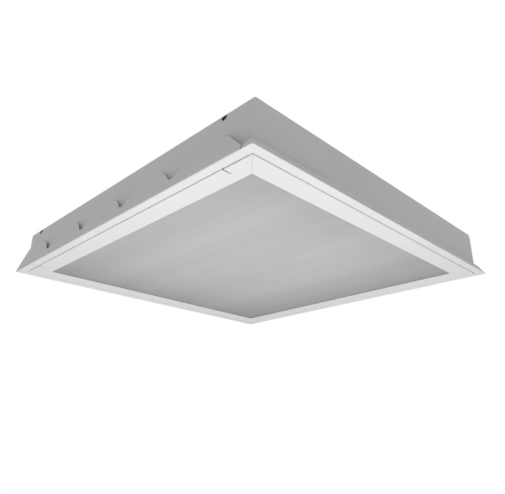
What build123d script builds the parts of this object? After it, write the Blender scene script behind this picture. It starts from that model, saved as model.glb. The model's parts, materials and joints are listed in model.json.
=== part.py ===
from build123d import *
import math
import os

# A square ceiling troffer: a shallow sheet-steel box that lies in a ceiling grid by its flange,
# closed from below by a hinged, mitred door frame that carries a prismatic lens. The light comes
# from strips of small white emitters under the top of the box, fed by a driver under a cover.
#
# Frame: millimetres, +Z up. The origin is the centre of the ceiling flange, on its underside.
# The door hinges on the right (+X) side and latches on the left (-X) side.

os.makedirs("parts", exist_ok=True)

# ---------------------------------------------------------------- driving dimensions
flange_size = 603.25          # outer width of the ceiling flange, 23 3/4 in
flange_ledge = 13.625         # how far the flange stands out past the box's walls
box_height = 76.2             # flange underside to the top of the box
sheet = 0.8                   # steel sheet of the box
bend = 1.2                    # bend radius at the middle of the sheet
top_bend = 9.0                # outer radius of the long bends along the top
top_return = 24.0             # width of the side rails' strips on top of the box
end_return = 16.0             # width of the end plates' strips on top and at the sides
corner_round = 4.0            # rounding of the flange's corners in plan

skirt_height = 44.0           # top edge of the leaning skirt on the side rails
skirt_gap = 0.15              # skirt's inner face to the wall, where it leans on it
notch_pitch = 114.3           # distance between the skirt's notches
notch_rear = 112.625          # middle of the rearmost notch from the flange's rear edge
notch_floor = 16.5            # height of a notch's bottom
notch_floor_width = 8.0       # width of a notch's bottom
notch_floor_round = 3.0       # rounding of the notch's bottom corners
skirt_front = 19.425          # front end of the skirt from the flange's front edge
skirt_start_height = 7.0      # height of the skirt at that end
tab_round = 45.0              # rounding of the tabs' top corners, less where a tab is short
tab_least = 12.0              # shortest top edge that a tab may have
tab_round_spare = 1.0         # straight stretch left between a tab's two roundings

lip_low = 14.0                # height of the end plates' leaning lip near the corners
lip_high = 23.5               # its height along the middle
lip_touch = 24.0              # height at which the lip's slope meets the wall
lip_corner = 111.625          # length of the low lip at each corner
lip_ramp = 60.0               # length of each slope from low to high
lip_round = 8.0               # rounding of the lip's top outline
seam = 0.1                    # gap between neighbouring flange pieces

hanger_hole = 10.2            # diameter of the hanger-wire holes
hanger_front = 47.0           # front hole from the box's front
hanger_rear = 37.0            # rear hole from the box's rear
hanger_height = 69.2          # height of their centres

door_gap = 1.2                # gap between the door's edge and the box walls
door_sheet = 0.8              # steel sheet of the door rails
door_return = 12.0            # height of the door's upturned outer edge
door_face = 30.5              # width of the door rails' faces
hem = 7.5                     # width of the folded inner edge of the rails
fold_tightness = 0.9          # radius of the tightest folds, as a part of the sheet
mitre_gap = 0.2               # gap at the mitred corners of the door
key_length = 34.0             # leg of the angle that joins two rails
key_height = 9.0
key_sheet = 1.2

lens_thickness = 3.2
lens_overlap = 6.0            # how far the lens lies over the door's folded edge
clip_sheet = 0.6
clip_width = 14.0
clip_place = 130.0            # lens clips from the middle of each rail
clip_reach = 7.0              # length of a clip's arm over the lens
clip_foot = 15.0              # length of its foot on the rail
clip_slope = 2.0              # level room the clip takes to rise past the lens

hinge_inset = 9.0             # hinge axis to the door's outer edge
hinge_height = 4.0            # hinge axis above the door's face
hinge_end = 86.0              # hinges from the door's ends
hinge_pin_radius = 1.5
hinge_play = 0.05             # radial clearance of the strap on its pin
knuckle_play = 0.6            # strap's knuckle to the door's face
hinge_head = 1.0              # height of a hinge pin's head, and its tail past the ear
hinge_head_over = 1.1         # head radius over the pin's
pin_seat_play = 0.02          # radial clearance of a pin in its fixed ears
strap_width = 16.0
strap_sheet = 1.0
strap_rise = 11.5             # hinge axis to the strap's level run
strap_top = 38.0              # top of the strap on the wall
strap_notch_play = 1.0        # strap to the notch in the door's edge, each side
strap_rivet_drop = (6.0, 14.0)      # its rivets below its top
bracket_length = 12.5         # hinge axis to the back of the bracket
bracket_base_play = 3.2       # hinge axis to the bracket's base
ear_sheet = 1.2
ear_play = 0.4                # strap to ear, each side

latch_end = 47.5              # latches from the door's ends
latch_sheet = 1.2             # thickness of the sliding bolt
latch_slot_width = 1.9        # slot in the door rail that the finger tab shows through
latch_slot_reach = 13.4       # how far the slot runs in from the door's edge
latch_travel = 6.4            # slide from released to locked
latch_low = 3.4               # lower edge of the bolt
latch_depth = 6.0             # height of the bolt
latch_set_back = 0.4          # released bolt's nose behind the door's edge
latch_length = 20.6
latch_round = 1.6             # rounding of the bolt's corners
finger_tab = 6.0              # length of the tab in the slot
finger_tab_low = 0.15         # lower edge of the tab
finger_tab_play = 0.4         # released tab to the slot's end
finger_tab_round = 0.5
guide_pin_radius = 1.0
guide_pin_apart = 7.0
guide_pin_inset = 4.6         # first guide pin behind the released bolt's nose
guide_pin_head = 0.6          # height of its head, and the head's radius over the pin's
guide_slot_play = 0.05        # radial clearance of the pins in the bolt's long slot
guide_sheet = 1.0             # sheet of the guide
guide_foot = 7.0              # guide's feet from the latch's middle
guide_top_play = 0.8          # bolt to the top of its guide
guide_play = 0.3              # bolt to its guide, each side
catch_play = 0.6              # bolt to the slot it locks into
edge_relief = 0.5             # door edge set back between a latch slot and its corner

stop_length = 30.0            # door stops inside the box
stop_leg = 8.0                # ledge that the door's edge meets
stop_wall_leg = 12.8          # leg on the wall
stop_place = 120.0            # stops from the middle of each side
stop_play = 0.2               # door's upturned edge to its stop

board_width = 24.0            # emitter boards
board_end_gap = 37.2          # their ends to the end plates
board_thickness = 1.6
board_wall_gap = 82.2         # middle of an outer board to the side wall
board_pitch = 100.0           # outer board to the inner one beside it
emitters_per_board = 20
emitter_size = 3.0
emitter_height = 0.7
plug_size = (8.0, 12.0, 4.6)  # wire plug on a board
board_screw_inset = 12.0      # first screw of a board from its front end
plug_clear = 32.0             # last screw from the rear end, clear of the plug
plug_round = 0.8

cover_width = 96.0            # cover over the driver, hanging under the top
cover_depth = 36.0
cover_flange = 12.0
cover_front_gap = 25.2        # its ends to the end plates
cover_rear_gap = 62.2
cover_screw_inset = 10.0      # cover screws from the cover's ends
driver_size = (40.0, 210.0, 28.0)
driver_gap = 52.0             # between the wire splice and the driver
driver_ear = 13.0             # length of the driver's fixing ears
driver_ear_width = 24.0
driver_round = 3.0
splice_size = (24.0, 26.0, 14.0)
splice_gap = 90.0             # splice's middle behind the wiring opening's
splice_round = 1.5
wire_entry_radius = 2.2
wire_entry_depth = 8.0
ground_side = 28.0            # ground screw beside the middle
ground_gap = 50.0             # and behind the wiring opening's middle
ground_head_radius = 4.5
ground_head = 3.2
lead_radius = 0.9
lead_apart = 2.4              # two leads side by side in one plug
lead_bend = 8.0               # bend radius of a lead
lead_run = 12.0               # straight run of a lead out of a plug or a case
output_apart = 16.0           # distance between the driver's two output leads

access_depth = 90.0           # plate over the wiring opening in the top, along the box
access_margin = 13.5          # its screws' centres to its side edges
access_opening_depth = 60.0
access_screw_gap = 5.7        # its screws' centres to the driver cover's walls
access_inset = 87.2           # its middle from the front end plate
access_screw_margin = 7.5     # its screws' centres to the opening's edge
access_screw_length = 8.0
plate_round = 6.0             # rounding of the plate's and the opening's corners
knockout_radius = 11.1        # for a half-inch conduit connector

screw_radius = 1.6            # sheet-metal screws and rivets
screw_head_radius = 3.6
screw_head = 1.6
rivet_head_radius = 3.2
rivet_head = 1.1
rail_rivet_count = 4          # rivets in each side rail, and from the end plates
rail_rivet_inset = 77.2
end_rivet_count = 3           # rivets in each end plate, and from the side walls
end_rivet_inset = 107.2
pan_play = 0.2                # top pan's edges to the bends beside them
head_rim_part = 0.3           # a head's straight rim, as a part of its height
hole_play = 0.05              # radial clearance of screws and rivets in their holes
screw_up = 1.2                # how far screws and rivets pass the sheet they hold

# ---------------------------------------------------------------- derived planes and lines
flange_half = flange_size / 2
box_size = flange_size - 2 * flange_ledge
wall_out = box_size / 2                     # outer face of the walls
wall_in = wall_out - sheet                  # inner face of the walls
half_sheet = sheet / 2
top_in = box_height - sheet                 # underside of the strips round the top
pan_low = top_in - sheet                    # underside of the top pan
skirt_start = skirt_front - flange_half
notch_last = flange_half - notch_rear
hanger_y = (hanger_front - wall_out, wall_out - hanger_rear)

door_half = wall_in - door_gap              # door's outer edge
lens_edge = door_half - door_face           # clear half width inside the door frame
lens_half = lens_edge + lens_overlap
hem_top = 2 * door_sheet                    # what the lens lies on
lens_top = hem_top + lens_thickness
hem_end = lens_edge + hem
hinge_x = door_half - hinge_inset
hinge_y = (hinge_end - door_half, door_half - hinge_end)
latch_y = (latch_end - door_half, door_half - latch_end)
stop_low = door_return + stop_play

board_length = 2 * (wall_in - board_end_gap)
board_outer = wall_in - board_wall_gap
board_inner = board_outer - board_pitch
board_places = (-board_outer, -board_inner, board_inner, board_outer)
cover_front = cover_front_gap - wall_in
cover_rear = wall_in - cover_rear_gap
access_place = access_inset - wall_in
splice_place = access_place + splice_gap
splice_rear = splice_place + splice_size[1] / 2
driver_place = splice_rear + driver_gap + driver_size[1] / 2
ground_place = (ground_side, access_place + ground_gap)

big = flange_size                           # longer than any piece, for cutting blocks
under = 1.0                                 # how far cutting blocks reach below the flange


def spread(reach, count):
    """Places at even distances from -reach to +reach."""
    return [reach * (2 * number / (count - 1) - 1) for number in range(count)]


def save(builder, name):
    """Label a finished piece and write it under its own name."""
    builder.part.label = name
    export_step(builder.part, f"parts/{name}.step")


def fastener(head_radius, head_height, shank_radius, shank_length):
    """A headed pin turned about Z: its low domed head above z = 0, its shank below."""
    rim = head_height * head_rim_part
    with BuildPart() as piece:
        with BuildSketch(Plane.XZ):
            with BuildLine():
                Polyline((0, head_height), (0, -shank_length), (shank_radius, -shank_length),
                         (shank_radius, 0), (head_radius, 0), (head_radius, rim))
                TangentArc((0, head_height), (head_radius, rim), tangent=(1, 0))
            make_face()
        revolve(axis=Axis.Z)
    return piece.part


# ---------------------------------------------------------------- box: side rails
# One bent strip: skirt, flange, wall, long top bend and the strip on top.
wall_mid = wall_out - half_sheet
skirt_mid = wall_out + skirt_gap + half_sheet
rail_path = [
    (-skirt_mid, skirt_height),
    (-flange_half, half_sheet),             # the bend's rounding brings it back to the width
    (-wall_mid, half_sheet),
    (-wall_mid, box_height - half_sheet),
    (-wall_out + top_return, box_height - half_sheet),
]
tab_slope = skirt_height - skirt_start_height      # the notch edges rise at 45 degrees
notch_rise = skirt_height - notch_floor
half_floor = notch_floor_width / 2
first_tab = skirt_start + tab_slope                # where the first tab's top edge starts
notch_room = notch_last - half_floor - notch_rise - tab_least - first_tab
notch_count = 1 + int(notch_room / notch_pitch)    # as many whole notches as the skirt holds
tab_top = notch_pitch - 2 * (half_floor + notch_rise)      # a tab's top edge before rounding
shortest_top = min(tab_top, tab_least + notch_room % notch_pitch)
corner_reach = math.tan(math.radians(45) / 2)      # a 45 degree corner's rounding, per its radius
tab_corner = min(tab_round, (shortest_top - tab_round_spare) / 2 / corner_reach)

skirt_outline = [(skirt_start, -under), (skirt_start, skirt_start_height)]
skirt_radii = [0.0, 0.0]
skirt_outline.append((first_tab, skirt_height))
skirt_radii.append(tab_corner)
for number in range(notch_count):
    middle = notch_last - (notch_count - 1 - number) * notch_pitch
    skirt_outline += [
        (middle - half_floor - notch_rise, skirt_height),
        (middle - half_floor, notch_floor),
        (middle + half_floor, notch_floor),
        (middle + half_floor + notch_rise, skirt_height),
    ]
    skirt_radii += [tab_corner, notch_floor_round, notch_floor_round, tab_corner]
skirt_outline += [(flange_half, skirt_height), (flange_half, -under)]
skirt_radii += [0.0, 0.0]

with BuildPart() as side_rail_left:
    with BuildSketch(Plane.XZ):
        with BuildLine():
            FilletPolyline(*rail_path, radius=[bend, bend, top_bend - half_sheet])
        trace(line_width=sheet)
    extrude(amount=flange_half, both=True)
    # wall and top strip stop at the end plates
    for side in (-1, 1):
        with BuildSketch(Plane.XY.offset(bend + half_sheet)):
            with Locations((-wall_out + top_return / 2, side * (wall_in + big / 2))):
                Rectangle(top_return + 2 * sheet, big)
        extrude(amount=box_height, mode=Mode.SUBTRACT)
    # the front end of the flange gives way to the front plate's corner
    with BuildSketch(Plane.XY.offset(-under)):
        with Locations((-wall_out - big / 2, skirt_start - big / 2)):
            Rectangle(big + 2 * seam, big)
    extrude(amount=big, mode=Mode.SUBTRACT)
    with BuildSketch(Plane.XY.offset(-under)):
        with Locations((-wall_mid, skirt_start - big / 2)):
            Rectangle(4 * sheet, big)
    extrude(amount=under + bend + half_sheet, mode=Mode.SUBTRACT)
    # mitre at the rear corner
    with BuildSketch(Plane.XY.offset(-under)):
        with BuildLine():
            Polyline((0, wall_in), (-wall_in - seam / 2, wall_in), (-big, big - seam / 2),
                     (0, big), close=True)
        make_face()
    extrude(amount=big, mode=Mode.SUBTRACT)
    # tabs and notches of the skirt
    with BuildSketch(Plane.YZ.offset(-wall_out - big)):
        Rectangle(big * 2, big)
        with BuildLine():
            FilletPolyline(*skirt_outline, radius=skirt_radii, close=True)
        make_face(mode=Mode.SUBTRACT)
    extrude(amount=big - skirt_gap / 2, mode=Mode.SUBTRACT)
    # hanger-wire holes, partly on the long bend
    with BuildSketch(Plane.YZ.offset(-wall_out - sheet)):
        with Locations(*[(y, hanger_height) for y in hanger_y]):
            Circle(hanger_hole / 2)
    extrude(amount=top_bend + sheet, mode=Mode.SUBTRACT)

with BuildPart() as side_rail_right:
    mirror(side_rail_left.part, about=Plane.YZ)

with side_rail_left:
    # slots that the latches lock into
    with BuildSketch(Plane.YZ.offset(-wall_out - skirt_gap / 2)):
        with Locations(*[(y, latch_low + latch_depth / 2) for y in latch_y]):
            Rectangle(latch_sheet + 2 * catch_play, latch_depth + 2 * catch_play)
    extrude(amount=2 * sheet, mode=Mode.SUBTRACT)

# ---------------------------------------------------------------- box: end plates
# The lip leans in from the flange's edge towards the wall. It is one tapered frame round the
# flange, of which each end plate keeps its own stretch.
lip_lean = flange_half - wall_out - skirt_gap      # how far the lip leans in at lip_touch
lip_shift = sheet * math.hypot(1, lip_lean / lip_touch)   # its thickness, measured level


def leaning_block(base_half, rounding):
    """Solid block with sides that lean in like the lip, rounded at its four corners."""
    with BuildPart() as block:
        with BuildSketch(Plane.XY):
            Rectangle(2 * base_half, 2 * base_half)
        with BuildSketch(Plane.XY.offset(lip_touch)):
            Rectangle(2 * (base_half - lip_lean), 2 * (base_half - lip_lean))
        loft()
        slanted = block.edges().filter_by(lambda edge: abs(edge.tangent_at(0).Z) > 0.1)
        fillet(slanted, rounding)
    return block.part


with BuildPart() as lip_frame:
    add(leaning_block(flange_half, corner_round))
    add(leaning_block(flange_half - lip_shift, corner_round - lip_shift), mode=Mode.SUBTRACT)

lip_rise = flange_half - lip_corner         # where the lip starts to rise from the corners
with BuildPart() as lip_front:
    add(lip_frame.part)
    with BuildSketch(Plane.XZ.offset(wall_out + skirt_gap)):
        with BuildLine():
            FilletPolyline(
                (-flange_half, 0), (-flange_half, lip_low), (-lip_rise, lip_low),
                (lip_ramp - lip_rise, lip_high), (lip_rise - lip_ramp, lip_high),
                (lip_rise, lip_low), (flange_half, lip_low), (flange_half, 0),
                radius=[0, 0, lip_round, lip_round, lip_round, lip_round, 0, 0], close=True)
        make_face()
    extrude(amount=big, mode=Mode.INTERSECT)

with BuildPart() as lip_returns:
    add(lip_frame.part)
    with BuildSketch(Plane.XY):
        for side in (-1, 1):
            with Locations((side * (wall_out + skirt_gap + flange_half / 2),
                            (skirt_start - seam - flange_half) / 2)):
                Rectangle(flange_half, flange_half + skirt_start - seam)
    extrude(amount=lip_low, mode=Mode.INTERSECT)

end_path = [
    (wall_out - end_return, box_height - half_sheet),
    (wall_mid, box_height - half_sheet),
    (wall_mid, half_sheet),
    (flange_half - lip_shift, half_sheet),
]


def end_panel():
    """Plate with its flange and top strip, standing at -Y, without the lip and the corners."""
    with BuildPart() as panel:
        with BuildSketch(Plane.YZ):
            with BuildLine():
                FilletPolyline(*[(-y, z) for y, z in end_path], radius=[bend, bend])
            trace(line_width=sheet)
        extrude(amount=wall_out, both=True)
        # the plate's outline follows the rails' long bends
        with BuildSketch(Plane.XZ.offset(wall_in - end_return)):
            with Locations((0, (box_height - big) / 2)):
                Rectangle(box_size, box_height + big)
            fillet(vertices().group_by(Axis.Y)[-1], top_bend)
        extrude(amount=big, mode=Mode.INTERSECT)
        # the top strip stops between the rails' own strips
        for side in (-1, 1):
            with BuildSketch(Plane.XY.offset(box_height - top_bend)):
                with Locations((side * wall_out, -wall_in + big / 2)):
                    Rectangle(2 * (top_return + 2 * seam), big)
            extrude(amount=big, mode=Mode.SUBTRACT)
        # strips that lie inside the rails' walls
        for side in (-1, 1):
            with BuildSketch(Plane.XY.offset(stop_low)):
                with Locations((side * (wall_in - half_sheet), -wall_in + (end_return - sheet) / 2)):
                    Rectangle(sheet, end_return + sheet)
            extrude(amount=box_height - top_bend - stop_low)
    return panel.part


with BuildPart() as end_plate_front:
    add(end_panel())
    add(lip_front.part)
    add(lip_returns.part)
    # flange corners, which the side rails' flanges stop short of
    corner_depth = flange_half + skirt_start - seam
    with BuildSketch(Plane.XY):
        with Locations((0, -flange_half + corner_depth / 2)):
            Rectangle(2 * flange_half, corner_depth)
            Rectangle(2 * wall_in, corner_depth, mode=Mode.SUBTRACT)
        with Locations((0, -flange_half + (flange_half - wall_out) / 2)):
            Rectangle(2 * flange_half, flange_half - wall_out)
        outer = [v for v in vertices() if abs(v.X) > flange_half - seam and v.Y < -wall_out]
        fillet(outer, corner_round)
    extrude(amount=sheet)

with BuildPart() as end_plate_rear:
    mirror(end_panel(), about=Plane.XZ)
    with BuildSketch(Plane.XY):
        with BuildLine():
            Polyline((-wall_out, wall_out), (-flange_half, flange_half),
                     (flange_half, flange_half), (wall_out, wall_out), close=True)
        make_face()
    extrude(amount=sheet)
    mirror(lip_front.part, about=Plane.XZ)
    # mitred against the side rails: first the bend and the flange, then the lip above them
    for start, height in ((wall_in, bend + half_sheet), (wall_out, lip_touch)):
        for side in (-1, 1):
            with BuildSketch(Plane.XY.offset(-under)):
                with BuildLine():
                    Polyline((side * start, start - seam / 2), (side * big, big - seam / 2),
                             (side * big, 0), (side * start, 0), close=True)
                make_face()
            extrude(amount=under + height, mode=Mode.SUBTRACT)

# ---------------------------------------------------------------- box: top pan and wiring plate
pan_half_x = wall_out - top_bend - pan_play # the pan stops at the rails' long bends
pan_half_y = wall_in - bend - pan_play
rail_rivet_x = wall_out - (top_bend + top_return) / 2
end_rivet_y = wall_out - end_return / 2
rail_rivet_rows = spread(wall_in - rail_rivet_inset, rail_rivet_count)
end_rivet_columns = spread(wall_in - end_rivet_inset, end_rivet_count)
rail_rivets = [(x, y) for x in (-rail_rivet_x, rail_rivet_x) for y in rail_rivet_rows]
end_rivets = [(x, y) for x in end_rivet_columns for y in (-end_rivet_y, end_rivet_y)]
pan_rivets = rail_rivets + end_rivets
board_screw_rows = (board_screw_inset - board_length / 2, 0, board_length / 2 - plug_clear)
board_screws = [(x, y) for x in board_places for y in board_screw_rows]
cover_screw_x = cover_width / 2 + cover_flange / 2
cover_screws = [(x, y) for x in (-cover_screw_x, cover_screw_x)
                for y in (cover_front + cover_screw_inset, cover_rear - cover_screw_inset)]
driver_screws = [(0, driver_place + side * (driver_size[1] + driver_ear) / 2)
                 for side in (-1, 1)]
access_screw_x = cover_width / 2 - sheet - access_screw_gap
access_opening = (2 * (access_screw_x - access_screw_margin), access_opening_depth)
access_size = (2 * (access_screw_x + access_margin), access_depth)
access_screws = [(x, access_place) for x in (-access_screw_x, access_screw_x)]
pan_screws = board_screws + cover_screws + driver_screws + access_screws + [ground_place]

with BuildPart() as top_pan:
    with BuildSketch(Plane.XY.offset(pan_low)):
        Rectangle(2 * pan_half_x, 2 * pan_half_y)
        with Locations((0, access_place)):
            RectangleRounded(*access_opening, radius=plate_round, mode=Mode.SUBTRACT)
        with Locations(*pan_rivets, *pan_screws):
            Circle(screw_radius + hole_play, mode=Mode.SUBTRACT)
    extrude(amount=sheet)

with BuildPart() as access_plate:
    with BuildSketch(Plane.XY.offset(top_in)):
        with Locations((0, access_place)):
            RectangleRounded(*access_size, radius=plate_round)
            Circle(knockout_radius, mode=Mode.SUBTRACT)
        with Locations(*access_screws):
            Circle(screw_radius + hole_play, mode=Mode.SUBTRACT)
    extrude(amount=sheet)

# rivet holes in the strips round the top
for piece, places in ((side_rail_left, rail_rivets), (side_rail_right, rail_rivets),
                      (end_plate_front, end_rivets), (end_plate_rear, end_rivets)):
    with piece:
        with BuildSketch(Plane.XY.offset(top_in - half_sheet)):
            with Locations(*places):
                Circle(screw_radius + hole_play)
        extrude(amount=2 * sheet, mode=Mode.SUBTRACT)

with BuildPart() as pan_rivet_set:
    with Locations(*[(x, y, box_height) for x, y in pan_rivets]):
        add(fastener(rivet_head_radius, rivet_head, screw_radius, 2 * sheet + screw_up))

with BuildPart() as access_screw_set:
    with Locations(*[(x, y, box_height) for x, y in access_screws]):
        add(fastener(screw_head_radius, screw_head, screw_radius,
                     access_screw_length))

# ---------------------------------------------------------------- light engine under the top
board_low = pan_low - board_thickness


def screws_from_below(places, seat, through):
    """Screws with their heads under the height seat, reaching up by through."""
    with BuildPart() as group:
        with Locations(*[Location((x, y, seat), (180, 0, 0)) for x, y in places]):
            add(fastener(screw_head_radius, screw_head, screw_radius, through))
    return group.part


boards = []
for number, place in enumerate(board_places, start=1):
    with BuildPart() as board:
        with BuildSketch(Plane.XY.offset(board_low)):
            with Locations((place, 0)):
                Rectangle(board_width, board_length)
            with Locations(*[p for p in board_screws if p[0] == place]):
                Circle(screw_radius + hole_play, mode=Mode.SUBTRACT)
        extrude(amount=board_thickness)
    boards.append(board)

emitter_pitch = board_length / (emitters_per_board + 1)
with BuildPart() as emitters:
    with BuildSketch(Plane.XY.offset(board_low - emitter_height)):
        for place in board_places:
            with Locations((place + board_width / 4, 0)):
                with GridLocations(0, emitter_pitch, 1, emitters_per_board):
                    Rectangle(emitter_size, emitter_size)
    extrude(amount=emitter_height)

with BuildPart() as board_screw_set:
    add(screws_from_below(board_screws, board_low, board_thickness + screw_up))

plug_y = board_length / 2 - plug_size[1] / 2
with BuildPart() as board_plugs:
    with BuildSketch(Plane.XY.offset(board_low - plug_size[2])):
        for place in board_places:
            with Locations((place - board_width / 4, plug_y)):
                RectangleRounded(plug_size[0], plug_size[1], radius=plug_round)
    extrude(amount=plug_size[2])

cover_half = cover_width / 2 - half_sheet
cover_low = pan_low - cover_depth
with BuildPart() as driver_cover:
    with BuildSketch(Plane.XZ.offset(-cover_rear)):
        with BuildLine():
            FilletPolyline(
                (-cover_width / 2 - cover_flange, pan_low - half_sheet),
                (-cover_half, pan_low - half_sheet), (-cover_half, cover_low + half_sheet),
                (cover_half, cover_low + half_sheet), (cover_half, pan_low - half_sheet),
                (cover_width / 2 + cover_flange, pan_low - half_sheet), radius=bend)
        trace(line_width=sheet)
    extrude(amount=cover_rear - cover_front)
    with BuildSketch(Plane.XY.offset(pan_low - 2 * sheet)):
        with Locations(*cover_screws):
            Circle(screw_radius + hole_play)
    extrude(amount=3 * sheet, mode=Mode.SUBTRACT)

with BuildPart() as cover_screw_set:
    add(screws_from_below(cover_screws, pan_low - sheet, sheet + screw_up))

with BuildPart() as driver:
    driver_low = pan_low - driver_size[2]
    with BuildSketch(Plane.XY.offset(driver_low)):
        with Locations((0, driver_place)):
            RectangleRounded(driver_size[0], driver_size[1], radius=driver_round)
    extrude(amount=driver_size[2])
    fillet(driver.faces().sort_by(Axis.Z)[0].edges(), driver_round - sheet)
    with BuildSketch(Plane.XY.offset(pan_low - sheet)):
        with Locations((0, driver_place)):
            RectangleRounded(driver_ear_width, driver_size[1] + 2 * driver_ear, radius=driver_round)
        with Locations(*driver_screws):
            Circle(screw_radius + hole_play, mode=Mode.SUBTRACT)
    extrude(amount=sheet)

with BuildPart() as driver_screw_set:
    add(screws_from_below(driver_screws, pan_low - sheet, sheet + screw_up))

with BuildPart() as wire_splice:
    with BuildSketch(Plane.XY.offset(pan_low - splice_size[2])):
        with Locations((0, splice_place)):
            RectangleRounded(splice_size[0], splice_size[1], radius=splice_round)
    extrude(amount=splice_size[2])
    # entries for the supply wires, towards the access opening
    with BuildSketch(Plane.XZ.offset(-splice_place + splice_size[1] / 2)):
        with Locations((0, pan_low - splice_size[2] / 2)):
            with GridLocations(splice_size[0] / 3, 0, 3, 1):
                Circle(wire_entry_radius)
    extrude(amount=-wire_entry_depth, mode=Mode.SUBTRACT)

with BuildPart() as ground_screw:
    with BuildSketch(Plane.XY.offset(pan_low)):
        with Locations(ground_place):
            RegularPolygon(ground_head_radius, 6)
    extrude(amount=-ground_head)
    with BuildSketch(Plane.XY.offset(pan_low)):
        with Locations(ground_place):
            Circle(screw_radius)
    extrude(amount=screw_up)


def lead(points, bend_radii):
    """Insulated wire along straight runs joined by arcs."""
    with BuildPart() as wire:
        with BuildLine() as route:
            FilletPolyline(*points, radius=bend_radii)
        with BuildSketch(Plane(origin=points[0], z_dir=route.line % 0)):
            Circle(lead_radius)
        sweep()
    return wire.part


driver_front = driver_place - driver_size[1] / 2
driver_back = driver_place + driver_size[1] / 2
driver_middle = pan_low - driver_size[2] / 2
splice_middle = pan_low - splice_size[2] / 2


def supply_lead(place):
    """Lead from the splice to the driver, straight out of the one and into the other."""
    return lead([(place, splice_rear, splice_middle), (place, splice_rear + lead_run, splice_middle),
                 (place, driver_front - lead_run, driver_middle),
                 (place, driver_front, driver_middle)], [lead_bend, lead_bend])


with BuildPart() as lead_black:
    add(supply_lead(-splice_size[0] / 3))
with BuildPart() as lead_white:
    add(supply_lead(0))
with BuildPart() as lead_green:
    green_x = splice_size[0] / 3
    turn_y = splice_rear + lead_run
    eye_z = pan_low - ground_head / 2
    add(lead([(green_x, splice_rear, splice_middle), (green_x, turn_y, splice_middle),
              (ground_place[0], turn_y, splice_middle),
              (ground_place[0], ground_place[1] + ground_head_radius + lead_run, eye_z),
              (ground_place[0], ground_place[1] + ground_head_radius, eye_z)],
             [lead_bend - 1, lead_bend - 1, lead_bend]))

plug_middle = board_low - plug_size[2] / 2
board_end = board_length / 2
lead_line = board_end + lead_run            # leads cross here, behind the boards
with BuildPart() as output_leads:
    for side in (-1, 1):
        from_driver = side * output_apart / 2
        to_plug = side * board_places[2] - board_width / 4 - side * lead_apart / 2
        add(lead([(from_driver, driver_back, driver_middle),
                  (from_driver, cover_rear + lead_run, driver_middle),
                  (from_driver + side * lead_run, lead_line, plug_middle),
                  (to_plug, lead_line, plug_middle), (to_plug, board_end, plug_middle)],
                 [lead_bend, lead_bend, lead_bend]))

with BuildPart() as board_jumpers:
    for side in (-1, 1):
        near = side * board_places[2] - board_width / 4 + side * lead_apart / 2
        far = side * board_places[3] - board_width / 4
        add(lead([(near, board_end, plug_middle), (near, lead_line, plug_middle),
                  (far, lead_line, plug_middle), (far, board_end, plug_middle)],
                 [lead_bend, lead_bend]))

# ---------------------------------------------------------------- door frame
# A rail is one bent strip: upturned outer edge, face, and an inner edge folded flat on itself.
rail_outline = [
    (-door_half, 0), (-lens_edge, 0), (-lens_edge, hem_top), (-hem_end, hem_top),
    (-hem_end, door_sheet), (-door_half + door_sheet, door_sheet),
    (-door_half + door_sheet, door_return), (-door_half, door_return),
]
fold_round = door_sheet * fold_tightness
rail_radii = [bend, fold_round, fold_round, 0, 0, door_sheet / 2, 0, 0]
mitre_back = mitre_gap / math.sqrt(2)

with BuildPart() as plain_rail:
    with BuildSketch(Plane.XZ):
        with BuildLine():
            FilletPolyline(*rail_outline, radius=rail_radii, close=True)
        make_face()
    extrude(amount=door_half, both=True)
    with BuildSketch(Plane.XY.offset(-under)):
        with BuildLine():
            Polyline((-mitre_back, 0), (-big, big - mitre_back), (-big, mitre_back - big),
                     close=True)
        make_face()
    extrude(amount=big, mode=Mode.INTERSECT)

with BuildPart() as door_rail_front:
    add(plain_rail.part, rotation=(0, 0, 90))

with BuildPart() as door_rail_rear:
    add(plain_rail.part, rotation=(0, 0, -90))

bolt_middle = latch_low + latch_depth / 2
with BuildPart() as door_rail_left:
    add(plain_rail.part)
    # slots for the finger tabs, open to the outer edge, and on up through it for the bolts
    with BuildSketch(Plane.XY.offset(-under)):
        with Locations(*[(-door_half + latch_slot_reach / 2, y) for y in latch_y]):
            Rectangle(latch_slot_reach, latch_slot_width)
    extrude(amount=under + latch_low, mode=Mode.SUBTRACT)
    with BuildSketch(Plane.XY.offset(-under)):
        with Locations(*[(-door_half, y) for y in latch_y]):
            Rectangle(4 * door_sheet, latch_slot_width)
    extrude(amount=under + latch_low + latch_depth + guide_play, mode=Mode.SUBTRACT)
    # the face's edge is set back between each slot and its corner
    relief_length = latch_end - 2 * door_sheet
    for side in (-1, 1):
        with BuildSketch(Plane.XY.offset(-under)):
            with Locations((-door_half, side * (latch_y[1] + relief_length / 2))):
                Rectangle(2 * edge_relief, relief_length)
        extrude(amount=under + hem_top, mode=Mode.SUBTRACT)

strap_notch = strap_width + 2 * strap_notch_play
with BuildPart() as door_rail_right:
    add(plain_rail.part, rotation=(0, 0, 180))
    # the upturned edge opens where the hinge straps swing through it
    with BuildSketch(Plane.XY.offset(door_sheet + half_sheet)):
        with Locations(*[(door_half, y) for y in hinge_y]):
            Rectangle(4 * door_sheet, strap_notch)
    extrude(amount=door_return, mode=Mode.SUBTRACT)

key_outer = door_half - door_sheet
with BuildPart() as corner_keys:
    with BuildSketch(Plane.XY.offset(hem_top)):
        for x_side in (-1, 1):
            for y_side in (-1, 1):
                with Locations((x_side * (key_outer - key_length / 2),
                                y_side * (key_outer - key_sheet / 2))):
                    Rectangle(key_length, key_sheet)
                with Locations((x_side * (key_outer - key_sheet / 2),
                                y_side * (key_outer - key_length / 2))):
                    Rectangle(key_sheet, key_length)
    extrude(amount=key_height)

with BuildPart() as lens:
    with BuildSketch(Plane.XY.offset(hem_top)):
        Rectangle(2 * lens_half, 2 * lens_half)
    extrude(amount=lens_thickness)

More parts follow.
